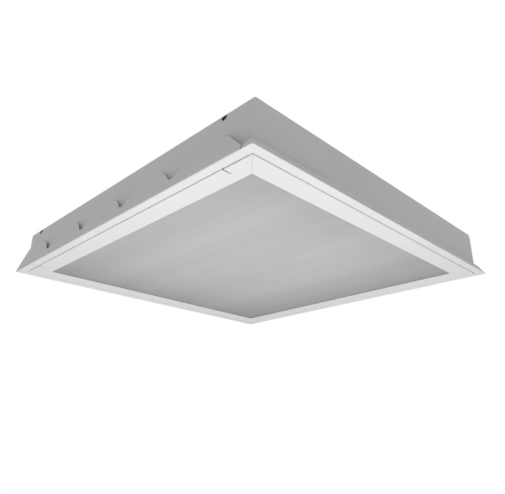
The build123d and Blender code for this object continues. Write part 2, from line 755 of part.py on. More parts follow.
clip_path = [
    (-hem_end - clip_foot, door_sheet + clip_sheet / 2),
    (-hem_end - clip_slope, door_sheet + clip_sheet / 2),
    (-hem_end, lens_top + clip_sheet / 2),
    (-lens_half + clip_reach, lens_top + clip_sheet / 2),
]
with BuildPart() as one_clip:
    with BuildSketch(Plane.XZ):
        with BuildLine():
            FilletPolyline(*clip_path, radius=clip_sheet)
        trace(line_width=clip_sheet)
    extrude(amount=clip_width / 2, both=True)

with BuildPart() as lens_clips:
    for quarter in range(4):
        for side in (-1, 1):
            with Locations(Rotation(0, 0, 90 * quarter) * Location((0, side * clip_place, 0))):
                add(one_clip.part)

# ---------------------------------------------------------------- hinges, on the right
ear_radius = hinge_height - door_sheet
knuckle_radius = ear_radius - knuckle_play
strap_path = [
    (hinge_x, hinge_height + knuckle_radius - strap_sheet / 2),
    (hinge_x, hinge_height + strap_rise),
    (wall_in - strap_sheet / 2, hinge_height + strap_rise),
    (wall_in - strap_sheet / 2, strap_top),
]
strap_rivet_z = [strap_top - drop for drop in strap_rivet_drop]
with BuildPart() as hinge_straps:
    for place in hinge_y:
        with BuildSketch(Plane.XZ.offset(-place)):
            with BuildLine():
                FilletPolyline(*strap_path, radius=1.5 * strap_sheet)
            trace(line_width=strap_sheet)
            with Locations((hinge_x, hinge_height)):
                Circle(knuckle_radius)
                Circle(hinge_pin_radius + hinge_play, mode=Mode.SUBTRACT)
        extrude(amount=strap_width / 2, both=True)
    with BuildSketch(Plane.YZ.offset(wall_in - 2 * strap_sheet)):
        with Locations(*[(y, z) for y in hinge_y for z in strap_rivet_z]):
            Circle(screw_radius + hole_play)
    extrude(amount=4 * strap_sheet, mode=Mode.SUBTRACT)

with side_rail_right:
    with BuildSketch(Plane.YZ.offset(wall_in - sheet)):
        with Locations(*[(y, z) for y in hinge_y for z in strap_rivet_z]):
            Circle(screw_radius + hole_play)
    extrude(amount=2 * sheet + skirt_gap / 2, mode=Mode.SUBTRACT)

with BuildPart() as strap_rivet_set:
    rivet_places = [Location((wall_out, y, z), (0, 90, 0)) for y in hinge_y for z in strap_rivet_z]
    with Locations(*rivet_places):
        add(fastener(rivet_head_radius, rivet_head, screw_radius,
                     sheet + strap_sheet + screw_up))

ear_inner = strap_width / 2 + ear_play
with BuildPart() as hinge_brackets:
    for place in hinge_y:
        for side in (-1, 1):
            with BuildSketch(Plane.XZ.offset(-place - side * (ear_inner + ear_sheet / 2))):
                with Locations((hinge_x, hinge_height)):
                    Circle(ear_radius)
                    with Locations((-bracket_length / 2, 0)):
                        Rectangle(bracket_length, 2 * ear_radius)
                    Circle(hinge_pin_radius + pin_seat_play, mode=Mode.SUBTRACT)
            extrude(amount=ear_sheet / 2, both=True)
        with BuildSketch(Plane.XY.offset(door_sheet)):
            with Locations((hinge_x - (bracket_length + bracket_base_play) / 2, place)):
                Rectangle(bracket_length - bracket_base_play, 2 * ear_inner + ear_sheet)
        extrude(amount=ear_sheet)

pin_half = ear_inner + ear_sheet
with BuildPart() as hinge_pins:
    for place in hinge_y:
        with Locations(Location((hinge_x, place - pin_half, hinge_height), (90, 0, 0))):
            add(fastener(hinge_pin_radius + hinge_head_over, hinge_head, hinge_pin_radius,
                         2 * pin_half + hinge_head))

# ---------------------------------------------------------------- latches, on the left
nose = -door_half + latch_set_back
pin_one = nose + guide_pin_inset
pin_two = pin_one + guide_pin_apart
slot_end = -door_half + latch_slot_reach
tab_height = latch_low + guide_pin_radius - finger_tab_low
bolts = []
for place in latch_y:
    with BuildPart() as bolt:
        with BuildSketch(Plane.XZ.offset(-place)):
            with Locations((nose + latch_length / 2, bolt_middle)):
                Rectangle(latch_length, latch_depth)
            fillet(vertices(), latch_round)
            with Locations((slot_end - finger_tab_play - finger_tab / 2,
                            finger_tab_low + tab_height / 2)):
                RectangleRounded(finger_tab, tab_height, radius=finger_tab_round)
            with Locations(((pin_one + pin_two + latch_travel) / 2, bolt_middle)):
                SlotCenterToCenter(guide_pin_apart + latch_travel,
                                   2 * (guide_pin_radius + guide_slot_play), mode=Mode.SUBTRACT)
        extrude(amount=latch_sheet / 2, both=True)
    bolts.append(bolt)

guide_inner = latch_sheet / 2 + guide_play
guide_mid = guide_inner + guide_sheet / 2
guide_outer = guide_inner + guide_sheet
guide_top = latch_low + latch_depth + guide_top_play + guide_sheet / 2
guide_start = -door_half + 2 * door_sheet
guide_end = nose + latch_length
with BuildPart() as latch_guides:
    for place in latch_y:
        with BuildSketch(Plane.YZ.offset(guide_start)):
            with BuildLine():
                FilletPolyline(
                    (place - guide_foot, door_sheet + guide_sheet / 2),
                    (place - guide_mid, door_sheet + guide_sheet / 2),
                    (place - guide_mid, guide_top), (place + guide_mid, guide_top),
                    (place + guide_mid, door_sheet + guide_sheet / 2),
                    (place + guide_foot, door_sheet + guide_sheet / 2),
                    radius=guide_sheet * fold_tightness)
            trace(line_width=guide_sheet)
        extrude(amount=guide_end - guide_start)
        with BuildSketch(Plane.XZ.offset(-place)):
            with Locations((pin_one, bolt_middle), (pin_two, bolt_middle)):
                Circle(guide_pin_radius + pin_seat_play)
        extrude(amount=guide_foot, both=True, mode=Mode.SUBTRACT)

with BuildPart() as guide_pins:
    for place in latch_y:
        for x in (pin_one, pin_two):
            with Locations(Location((x, place - guide_outer, bolt_middle), (90, 0, 0))):
                add(fastener(guide_pin_radius + guide_pin_head, guide_pin_head,
                             guide_pin_radius, 2 * guide_outer + guide_pin_head))

# ---------------------------------------------------------------- door stops
with BuildPart() as one_stop:
    with BuildSketch(Plane.XZ):
        with BuildLine():
            FilletPolyline((-wall_in + stop_leg, stop_low + half_sheet),
                           (-wall_in + half_sheet, stop_low + half_sheet),
                           (-wall_in + half_sheet, stop_low + stop_wall_leg), radius=bend)
        trace(line_width=sheet)
    extrude(amount=stop_length / 2, both=True)

with BuildPart() as door_stops:
    for turn in (-90, 0, 90):
        for side in (-1, 1):
            with Locations(Rotation(0, 0, turn) * Location((0, side * stop_place, 0))):
                add(one_stop.part)

# ---------------------------------------------------------------- write the pieces
pieces = {
    "top_pan": top_pan,
    "side_rail_left": side_rail_left,
    "side_rail_right": side_rail_right,
    "end_plate_front": end_plate_front,
    "end_plate_rear": end_plate_rear,
    "pan_rivets": pan_rivet_set,
    "door_stops": door_stops,
    "access_plate": access_plate,
    "access_screws": access_screw_set,
    "emitters": emitters,
    "board_screws": board_screw_set,
    "board_plugs": board_plugs,
    "driver": driver,
    "driver_screws": driver_screw_set,
    "driver_cover": driver_cover,
    "cover_screws": cover_screw_set,
    "wire_splice": wire_splice,
    "ground_screw": ground_screw,
    "lead_black": lead_black,
    "lead_white": lead_white,
    "lead_green": lead_green,
    "output_leads": output_leads,
    "board_jumpers": board_jumpers,
    "door_rail_left": door_rail_left,
    "door_rail_right": door_rail_right,
    "door_rail_front": door_rail_front,
    "door_rail_rear": door_rail_rear,
    "corner_keys": corner_keys,
    "lens": lens,
    "lens_clips": lens_clips,
    "hinge_straps": hinge_straps,
    "strap_rivets": strap_rivet_set,
    "hinge_brackets": hinge_brackets,
    "hinge_pins": hinge_pins,
    "latch_bolt_front": bolts[0],
    "latch_bolt_rear": bolts[1],
    "latch_guides": latch_guides,
    "guide_pins": guide_pins,
}
for number, board in enumerate(boards, start=1):
    pieces[f"led_board_{number}"] = board
for name, builder in pieces.items():
    save(builder, name)
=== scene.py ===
"""Recessed troffer light: its finishes, its fine pieces, and the studio round it.

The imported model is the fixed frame. Lengths are in metres, +Z is up into the ceiling and the
origin is the centre of the ceiling flange, on its underside.
"""
import json
import logging
import math
from dataclasses import dataclass
from enum import Enum
from typing import Protocol

import bpy
import numpy as np
from mathutils import Matrix, Vector


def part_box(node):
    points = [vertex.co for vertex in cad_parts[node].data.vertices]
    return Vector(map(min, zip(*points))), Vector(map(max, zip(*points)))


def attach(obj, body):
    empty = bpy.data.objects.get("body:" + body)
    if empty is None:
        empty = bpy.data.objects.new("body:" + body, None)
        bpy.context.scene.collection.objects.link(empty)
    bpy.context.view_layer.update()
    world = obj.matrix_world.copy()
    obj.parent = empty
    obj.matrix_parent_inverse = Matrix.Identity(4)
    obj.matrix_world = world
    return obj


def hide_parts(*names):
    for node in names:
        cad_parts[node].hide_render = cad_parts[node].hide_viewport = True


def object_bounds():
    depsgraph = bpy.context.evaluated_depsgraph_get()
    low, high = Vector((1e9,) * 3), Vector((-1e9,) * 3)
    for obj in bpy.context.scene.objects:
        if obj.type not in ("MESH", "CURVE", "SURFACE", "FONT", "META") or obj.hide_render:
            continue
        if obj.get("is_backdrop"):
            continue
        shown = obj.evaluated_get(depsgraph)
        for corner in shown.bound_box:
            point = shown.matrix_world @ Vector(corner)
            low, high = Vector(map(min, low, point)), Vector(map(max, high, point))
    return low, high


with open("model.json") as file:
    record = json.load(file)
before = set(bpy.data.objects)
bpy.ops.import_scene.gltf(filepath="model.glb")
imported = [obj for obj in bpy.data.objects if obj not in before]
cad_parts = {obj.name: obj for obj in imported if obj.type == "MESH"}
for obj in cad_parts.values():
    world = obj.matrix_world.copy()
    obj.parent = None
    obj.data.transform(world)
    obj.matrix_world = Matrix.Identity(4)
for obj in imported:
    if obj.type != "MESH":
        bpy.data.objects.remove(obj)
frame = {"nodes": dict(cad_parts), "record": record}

log = logging.getLogger("troffer")
MM = 0.001                              # one millimetre
Triple = tuple[float, float, float]     # red, green and blue, or X, Y and Z
Operand = "Signal | float"              # what a sum or a product of sockets takes


# ------------------------------------------------------------------------------ shader maths
class Signal:
    """A node socket that takes part in sums and products, each of which adds a Math node."""

    def __init__(self, graph: "Graph", socket: bpy.types.NodeSocket) -> None:
        """Wrap a socket.

        Args:
            graph: the node graph that the socket belongs to.
            socket: the output socket.
        """
        self.graph = graph
        self.socket = socket

    def _math(self, operation: str, first: Operand, second: Operand = 0.0) -> "Signal":
        """Add a Math node.

        Args:
            operation: the Math node's operation.
            first: a signal or a number.
            second: a signal or a number.

        Returns:
            The node's result.
        """
        node = self.graph.add("ShaderNodeMath", {"operation": operation}, {0: first, 1: second})
        return Signal(self.graph, node.outputs[0])

    def __add__(self, other: Operand) -> "Signal":
        """Sum."""
        return self._math("ADD", self, other)

    __radd__ = __add__

    def __sub__(self, other: Operand) -> "Signal":
        """Difference."""
        return self._math("SUBTRACT", self, other)

    def __rsub__(self, other: Operand) -> "Signal":
        """Difference the other way round, so that 1 - mask works."""
        return self._math("SUBTRACT", other, self)

    def __mul__(self, other: Operand) -> "Signal":
        """Product."""
        return self._math("MULTIPLY", self, other)

    __rmul__ = __mul__

    def power_of_size(self, exponent: float) -> "Signal":
        """The signal's size, without its sign, raised to an exponent."""
        return self._math("POWER", self._math("ABSOLUTE", self), exponent)

    def either(self, other: "Signal") -> "Signal":
        """The larger of two signals."""
        return self._math("MAXIMUM", self, other)

    def over(self, level: float) -> "Signal":
        """One where the signal is above a level, else zero."""
        return self._math("GREATER_THAN", self, level)

    def ramp(self, low: float, high: float) -> "Signal":
        """Zero below one level and one above another, and smooth between them.

        Args:
            low: the level up to which it is zero.
            high: the level from which it is one.

        Returns:
            The stepped signal.
        """
        node = self.graph.add("ShaderNodeMapRange", {"interpolation_type": "SMOOTHSTEP"},
                              {0: self, 1: low, 2: high})
        return Signal(self.graph, node.outputs[0])


class Graph:
    """The node graph of one material or world, with one call that adds any node to it."""

    def __init__(self, owner: bpy.types.Material | bpy.types.World) -> None:
        """Start an empty graph.

        Args:
            owner: the material or world that the graph belongs to.
        """
        owner.use_nodes = True
        self.owner = owner
        self.tree = owner.node_tree
        self.tree.nodes.clear()
        of_world = isinstance(owner, bpy.types.World)
        self.output = self.add("ShaderNodeOutputWorld" if of_world else "ShaderNodeOutputMaterial")
        self.place = self.add("ShaderNodeTexCoord").outputs["Object"]

    @classmethod
    def of_material(cls, name: str) -> "Graph":
        """The empty graph of a new material."""
        return cls(bpy.data.materials.new(name))

    def add(self, kind: str, settings: dict[str, object] | None = None,
            inputs: dict[str | int, object] | None = None) -> bpy.types.Node:
        """Add a node of any type.

        Args:
            kind: the node's type.
            settings: its own settings, which are set first.
            inputs: the value or the link of each socket, by name or number.

        Returns:
            The new node.
        """
        node = self.tree.nodes.new(kind)
        for name, value in (settings or {}).items():
            setattr(node, name, value)
        for name, value in (inputs or {}).items():
            if isinstance(value, Signal):
                value = value.socket
            if isinstance(value, bpy.types.NodeSocket):
                self.tree.links.new(value, node.inputs[name])
            else:
                node.inputs[name].default_value = value
        return node

    def noise(self, scale: float, detail: float = 2.0, stretch: Triple = (1, 1, 1)) -> Signal:
        """Cloudy noise on the object's own coordinates.

        Args:
            scale: features per metre.
            detail: octaves of finer noise.
            stretch: further scale along X, Y and Z.

        Returns:
            The noise, from 0 to 1.
        """
        place = self.add("ShaderNodeMapping", None, {"Vector": self.place, "Scale": stretch})
        node = self.add("ShaderNodeTexNoise", None,
                        {"Vector": place.outputs[0], "Scale": scale, "Detail": detail})
        return Signal(self, node.outputs[0])

    def axis(self, number: int) -> Signal:
        """One of the object's own coordinates, in metres."""
        node = self.add("ShaderNodeSeparateXYZ", None, {0: self.place})
        return Signal(self, node.outputs[number])

    def blend(self, factor: Signal, first: Triple, second: Triple) -> bpy.types.NodeSocket:
        """Mix two colours, which are inputs 6 and 7 of a Mix node and leave it at output 2.

        Args:
            factor: 0 for the first colour, 1 for the second.
            first: linear red, green and blue.
            second: linear red, green and blue.

        Returns:
            The mixed colour's socket.
        """
        node = self.add("ShaderNodeMix", {"data_type": "RGBA"},
                        {0: factor, 6: (*first, 1), 7: (*second, 1)})
        return node.outputs[2]

    def bump(self, height: Signal, depth: float, strength: float = 1.0) -> bpy.types.NodeSocket:
        """A normal that follows a height.

        Args:
            height: the height, from 0 to 1.
            depth: the height's real depth in metres.
            strength: how strongly it shows.

        Returns:
            The normal's socket.
        """
        node = self.add("ShaderNodeBump", None,
                        {"Height": height, "Distance": depth, "Strength": strength})
        return node.outputs[0]

    def background_rays(self) -> Signal:
        """Tell the rays that show a background: to the eye, off metal and through glass.

        Returns:
            One for such rays, zero for the rays that light a surface.
        """
        path = self.add("ShaderNodeLightPath")
        eye, gloss, through = (Signal(self, path.outputs[f"Is {kind} Ray"])
                               for kind in ("Camera", "Glossy", "Transmission"))
        return eye.either(gloss).either(through)

    def surface(self, **sockets: object) -> bpy.types.Material:
        """Finish the material with one Principled shader.

        Args:
            sockets: values or links, by the socket's name with underscores for spaces.

        Returns:
            The finished material.
        """
        inputs = {name.replace("_", " "): value for name, value in sockets.items()}
        shader = self.add("ShaderNodeBsdfPrincipled", None, inputs)
        self.tree.links.new(shader.outputs[0], self.output.inputs[0])
        return self.owner


def shade(colour: Triple, factor: float) -> Triple:
    """A colour made lighter or darker by a factor."""
    return tuple(min(1.0, part * factor) for part in colour)


# ------------------------------------------------------------------------------ finishes
class Finish(Protocol):
    """Anything that can be built as a material."""

    def material(self, name: str) -> bpy.types.Material:
        """Build the finish as a material."""


@dataclass(frozen=True)
class Enamel:
    """Baked enamel on sheet steel, with a fine orange peel.

    Args:
        colour: linear colour of the paint.
        gloss: roughness of the film.
        peel: depth of the orange peel in metres.
        dust: how much darker the dullest patches are.
        shine: level of the film's mirror light.
    """

    colour: Triple
    gloss: float = 0.42
    peel: float = 0.02 * MM
    dust: float = 0.03
    shine: float = 0.35

    def material(self, name: str) -> bpy.types.Material:
        """Build the finish as a material.

        Args:
            name: the material's name.

        Returns:
            The finished material.
        """
        graph = Graph.of_material(name)
        cloud = graph.noise(scale=7, detail=3)
        fine = graph.noise(scale=160, detail=2)
        peel = graph.noise(scale=620, detail=1)
        patch = cloud.ramp(low=0.30, high=0.75) * 0.7 + fine * 0.3
        dull = shade(self.colour, 1 - self.dust)
        return graph.surface(Base_Color=graph.blend(patch, dull, self.colour),
                             Roughness=self.gloss + (cloud - 0.5) * 0.12 + (fine - 0.5) * 0.06,
                             Specular_IOR_Level=self.shine,
                             Normal=graph.bump(peel, self.peel))


@dataclass(frozen=True)
class ZincPlate:
    """Bright zinc plate on small steel parts, clouded and finely scratched.

    Args:
        colour: linear colour of the plate.
        gloss: roughness where it is clean.
    """

    colour: Triple = (0.62, 0.63, 0.65)
    gloss: float = 0.32

    def material(self, name: str) -> bpy.types.Material:
        """Build the finish as a material.

        Args:
            name: the material's name.

        Returns:
            The finished material.
        """
        graph = Graph.of_material(name)
        cloud = graph.noise(scale=60, detail=3)
        scratch = graph.noise(scale=900, detail=2, stretch=(1, 0.05, 1))
        return graph.surface(Base_Color=graph.blend(cloud, shade(self.colour, 0.82), self.colour),
                             Metallic=1.0,
                             Roughness=self.gloss + (cloud - 0.5) * 0.2 + (scratch - 0.5) * 0.12,
                             Normal=graph.bump(scratch, depth=0.008 * MM))


@dataclass(frozen=True)
class FrostedAcrylic:
    """Frosted acrylic sheet, faintly drawn along the sheet's length, with painted shade darkening it
    towards its edges.

    Args:
        colour: linear colour of the sheet.
        reach: distance from the brightest point of the painted shade to where it is darkest, in
            metres.
        aside: how far the brightest point of the painted shade lies off the middle, towards -X and -Y.
        clearness: share of the light that passes, softly.
        roughness: roughness of the frosted face.
        streak_and_shade: how much darker the drawn streaks are, and how much darker the painted edge
            shade is.
        drawing: share of the streaks in the colour's mix, of which the painted edge shade has the
            rest.
    """

    colour: Triple
    reach: float = 0.33
    aside: float = 0.045
    clearness: float = 0.35
    roughness: float = 0.5
    streak_and_shade: float = 0.5
    drawing: float = 0.15

    def middle(self, graph: Graph) -> Signal:
        """How near the sheet's middle a point lies, for the painted shade towards its edges.

        Args:
            graph: the material's graph.

        Returns:
            1 over most of the sheet, falling to 0 at its edges: painted shade that stands for the
            darker box behind.
        """
        # Painted shade: the sheet's colour darkens towards its edges and is brightest towards -X and
        # -Y.
        across = ((graph.axis(0) + self.aside) * (1 / self.reach)).power_of_size(3)
        along = ((graph.axis(1) + self.aside) * (1 / self.reach)).power_of_size(3)
        return (1 - across) * (1 - along)

    def material(self, name: str) -> bpy.types.Material:
        """Build the finish as a material.

        Args:
            name: the material's name.

        Returns:
            The finished material.
        """
        graph = Graph.of_material(name)
        drawn = graph.noise(scale=15, detail=3, stretch=(1, 0.05, 1)).ramp(low=0.36, high=0.64)
        frost = graph.noise(scale=2600, detail=1)
        # The base colour mixes the real drawn streaks with painted shade towards the edges.
        streaks_and_painted_shade = drawn * self.drawing + self.middle(graph) * (1 - self.drawing)
        streak_and_shade_colour = shade(self.colour, 1 - self.streak_and_shade)
        return graph.surface(Base_Color=graph.blend(streaks_and_painted_shade, streak_and_shade_colour, self.colour),
                             Roughness=self.roughness + (drawn - 0.5) * 0.08,
                             Transmission_Weight=self.clearness,
                             IOR=1.49,
                             Specular_IOR_Level=0.25,
                             Normal=graph.bump(frost, depth=0.006 * MM))


@dataclass(frozen=True)
class Moulding:
    """Injection-moulded plastic with a fine sparked texture.

    Args:
        colour: linear colour of the plastic.
        gloss: roughness of the surface.
        grain: features per metre of the sparked texture.
        depth: its depth in metres.
    """

    colour: Triple
    gloss: float = 0.45
    grain: float = 1800.0
    depth: float = 0.012 * MM

    def material(self, name: str) -> bpy.types.Material:
        """Build the finish as a material.

        Args:
            name: the material's name.

        Returns:
            The finished material.
        """
        graph = Graph.of_material(name)
        cloud = graph.noise(scale=90, detail=2)
        spark = graph.noise(scale=self.grain, detail=2)
        return graph.surface(Base_Color=graph.blend(cloud, shade(self.colour, 0.93), self.colour),
                             Roughness=self.gloss + (cloud - 0.5) * 0.1,
                             Normal=graph.bump(spark, self.depth))


@dataclass(frozen=True)
class BoardMask:
    """White solder mask over copper tracks, which stand up under it.

    The tracks break where a sine wave along the board is low. The wave texture repeats every
    pi / 10 / scale.

    Args:
        colour: linear colour of the mask.
        track: linear colour where copper lies under it.
        pitch: distance between the breaks, in metres.
    """

    colour: Triple = (0.80, 0.81, 0.78)
    track: Triple = (0.74, 0.76, 0.70)
    pitch: float = 23.8 * MM

    def material(self, name: str) -> bpy.types.Material:
        """Build the finish as a material.

        Args:
            name: the material's name.

        Returns:
            The finished material.
        """
        graph = Graph.of_material(name)
        wave = graph.add("ShaderNodeTexWave", {"bands_direction": "Y", "wave_profile": "SIN"},
                         {"Vector": graph.place, "Scale": math.pi / 10 / self.pitch, "Distortion": 0})
        tracks = Signal(graph, wave.outputs["Fac"]).over(0.12)
        cloud = graph.noise(scale=40, detail=2)
        copper = tracks * (0.75 + 0.25 * cloud)
        return graph.surface(Base_Color=graph.blend(copper, self.colour, self.track),
                             Roughness=0.36 + cloud * 0.12,
                             Normal=graph.bump(tracks, depth=0.03 * MM))


@dataclass(frozen=True)
class Phosphor:
    """Silicone filled with yellow phosphor, unlit.

    Args:
        colour: linear colour of the phosphor.
    """

    colour: Triple = (0.80, 0.58, 0.06)

    def material(self, name: str) -> bpy.types.Material:
        """Build the finish as a material.

        Args:
            name: the material's name.

        Returns:
            The finished material.
        """
        graph = Graph.of_material(name)
        grain = graph.noise(scale=4000, detail=2)
        return graph.surface(Base_Color=graph.blend(grain, shade(self.colour, 0.85), self.colour),
                             Roughness=0.22 + grain * 0.1, Coat_Weight=0.3)


class Palette(Enum):
    """Every finish on the object, by the name of its material slot in the record."""

    BOX = ("box_paint", Enamel((0.810, 0.807, 0.806), gloss=0.66, dust=0.05, shine=0.10))
    INNER = ("inner_paint", Enamel((0.84, 0.84, 0.83), gloss=0.6, peel=0.01 * MM))
    DOOR = ("door_paint", Enamel((0.800, 0.797, 0.797), gloss=0.56, shine=0.12))
    LENS = ("lens_acrylic", FrostedAcrylic((0.735, 0.735, 0.728)))
    ZINC = ("zinc", ZincPlate())
    BOARD = ("board", BoardMask())
    EMITTER = ("emitter", Phosphor())
    PLUG = ("plug", Moulding((0.80, 0.79, 0.74)))
    DRIVER = ("driver_case", Enamel((0.74, 0.75, 0.76), gloss=0.35))
    SPLICE = ("splice", Moulding((0.78, 0.24, 0.03)))
    GROUND = ("ground_green", ZincPlate((0.03, 0.26, 0.08), gloss=0.38))
    BLACK = ("wire_black", Moulding((0.02, 0.02, 0.021), gloss=0.5, grain=900))
    WHITE = ("wire_white", Moulding((0.78, 0.78, 0.75), gloss=0.5, grain=900))
    GREEN = ("wire_green", Moulding((0.02, 0.24, 0.05), gloss=0.5, grain=900))
    RED = ("wire_red", Moulding((0.50, 0.02, 0.015), gloss=0.5, grain=900))

    def __init__(self, slot: str, finish: Finish) -> None:
        """Keep the slot's name and its finish."""
        self.slot = slot
        self.finish = finish

    def material(self) -> bpy.types.Material:
        """The slot's material, built when it is first asked for."""
        ready = bpy.data.materials.get(f"finish_{self.slot}")
        return ready or self.finish.material(f"finish_{self.slot}")


def dress_frame() -> None:
    """Give each CAD node the finish of its slot in the record."""
    finishes = {entry.slot: entry for entry in Palette}
    for row in frame["record"]["subparts"]:
        node = frame["nodes"][row["node"]]
        node.data.materials.clear()
        node.data.materials.append(finishes[row["material_slot"]].material())
        log.info("%s wears %s", row["node"], row["material_slot"])


# ------------------------------------------------------------------------------ mesh building
@dataclass
class Surface:
    """Points and faces of one closed shape, in metres.

    Args:
        points: one row of X, Y and Z for each point.
        faces: one row of point numbers for each face.
    """

    points: np.ndarray
    faces: np.ndarray

    def copies(self, places: np.ndarray, turn: Matrix | None = None) -> "Surface":
        """The shape turned about its origin and repeated at each place.

        Args:
            places: one row for each copy.
            turn: rotation of every copy, or none.

        Returns:
            All copies as one surface.
        """
        facing = self.points if turn is None else self.points @ np.array(turn).T
        points = (places[:, None, :] + facing[None, :, :]).reshape(-1, 3)
        steps = np.arange(len(places)) * len(self.points)
        faces = (self.faces[None, :, :] + steps[:, None, None]).reshape(-1, self.faces.shape[1])
        return Surface(points, faces)

    def piece(self, name: str, entry: Palette, body: str, replaced: str | None = None,
              sharp: float = 35.0) -> bpy.types.Object:
        """Make a Blender object of the surface and put it on its body.

        Args:
            name: the piece's name.
            entry: its finish.
            body: the CAD body that it moves with.
            replaced: a CAD node that it stands for.
            sharp: edges that turn by more than this many degrees stay sharp.

        Returns:
            The new object.
        """
        mesh = bpy.data.meshes.new(name)
        mesh.from_pydata(self.points.tolist(), [], self.faces.tolist())
        mesh.polygons.foreach_set("use_smooth", np.ones(len(mesh.polygons), bool))
        mesh.set_sharp_from_angle(angle=math.radians(sharp))
        mesh.materials.append(entry.material())
        mesh.update()
        piece = bpy.data.objects.new(name, mesh)
        bpy.context.scene.collection.objects.link(piece)
        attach(piece, body)
        if replaced:
            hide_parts(replaced)
        log.info("%s: %d faces on %s", name, len(mesh.polygons), body)
        return piece


def grid_faces(rows: int, columns: int, wrap: bool = False) -> np.ndarray:
    """Faces of a grid of points, numbered row by row.

    Each face joins a point to the next in its row and to the two after them in the next row.

    Args:
        rows: number of rows.
        columns: number of points in a row.
        wrap: whether the last point of a row joins the first.

    Returns:
        One row of four point numbers for each face.
    """
    row, column = np.meshgrid(np.arange(rows - 1), np.arange(columns if wrap else columns - 1),
                              indexing="ij")
    after = (column + 1) % columns
    corners = (row * columns + column, row * columns + after,
               (row + 1) * columns + after, (row + 1) * columns + column)
    return np.stack(corners, -1).reshape(-1, 4)


def turned(profile: np.ndarray, sides: int, lift: np.ndarray | None = None) -> Surface:
    """Turn a profile about Z, from a point on the axis to another point on the axis.

    A point of the profile at radius r and height z goes round as (r cos t, r sin t, z), to
    which lift, a height for each point of the grid, is added.

    Args:
        profile: one row of radius and height for each point, from the top of the axis down.
        sides: number of steps round the axis.
        lift: heights to add, one row for each point of the profile.

    Returns:
        The closed surface, with its faces outwards.
    """
    turn = np.arange(sides) * 2 * math.pi / sides
    radius, height = profile[:, 0:1], profile[:, 1:2]
    rise = np.zeros((len(profile), sides)) if lift is None else lift
    points = np.stack([radius * np.cos(turn), radius * np.sin(turn), height + rise], -1)
    faces = grid_faces(len(profile), sides, wrap=True)
    return Surface(points.reshape(-1, 3), faces[:, ::-1])


def solid_boxes(node: str, reach: float) -> np.ndarray:
    """Boxes of the separate solids in a CAD node.

    Each solid is the points within reach, in plan, of the first point not yet taken.

    Args:
        node: the node's name.
        reach: more than the width of one solid, less than the gap to the next, in metres.

    Returns:
        For each solid its lowest and highest corner.
    """
    mesh = frame["nodes"][node].data
    points = np.zeros(len(mesh.vertices) * 3, np.float32)
    mesh.vertices.foreach_get("co", points)
    points = points.reshape(-1, 3).astype(float)
    boxes = []
    while len(points):
        near = np.hypot(*(points[:, :2] - points[0, :2]).T) < reach
        boxes.append((points[near].min(0), points[near].max(0)))
        points = points[~near]
    return np.array(boxes)


# ------------------------------------------------------------------------------ fine pieces
@dataclass
class Lens:
    """The acrylic sheet in the door: flat below, with rows of small pyramids above.

    Args:
        pitch: width of one pyramid.
        depth: height of the pyramids.
        edge: plain margin round the pyramids.
    """

    pitch: float = 6.0 * MM
    depth: float = 1.1 * MM
    edge: float = 4.0 * MM

    def build(self) -> None:
        """Make the sheet.

        Its upper face is a grid with two steps to each pyramid. A point's height is the lower
        of the two triangle waves of its X and its Y, times the depth, and is full height on
        the plain margin. The lower face is the same grid, flat, and the wall joins the two
        round their rims.
        """
        low, high = (np.array(corner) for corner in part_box("lens"))
        span = high[0] - low[0] - 2 * self.edge
        count = int(span / self.pitch)
        inner = np.linspace(-1, 1, 2 * count + 1) * (span / 2)
        line = np.concatenate([[low[0]], inner, [high[0]]])
        wave = np.concatenate([[0], np.arange(2 * count + 1) % 2, [0]])
        x, y = np.meshgrid(line, line, indexing="ij")
        valley = 1 - np.minimum(wave[:, None], wave[None, :])
        plain = (np.abs(x) > span / 2) | (np.abs(y) > span / 2)
        z = high[2] - self.depth * np.where(plain, 0.0, valley)
        top = np.stack([x, y, z], -1).reshape(-1, 3)
        base = np.stack([x, y, np.full_like(x, low[2])], -1).reshape(-1, 3)
        size = len(line)
        faces = grid_faces(size, size)
        total = size * size
        rim = np.concatenate([np.arange(size), np.arange(2 * size - 1, total, size),
                              np.arange(total - 2, total - size - 1, -1),
                              np.arange(total - 2 * size, 0, -size)])
        after = np.roll(rim, -1)
        wall = np.stack([rim, after, after + total, rim + total], -1)
        sheet = Surface(np.concatenate([top, base]),
                        np.concatenate([faces[:, ::-1], faces + total, wall]))
        sheet.piece("lens_sheet", Palette.LENS, "door", replaced="lens", sharp=20)


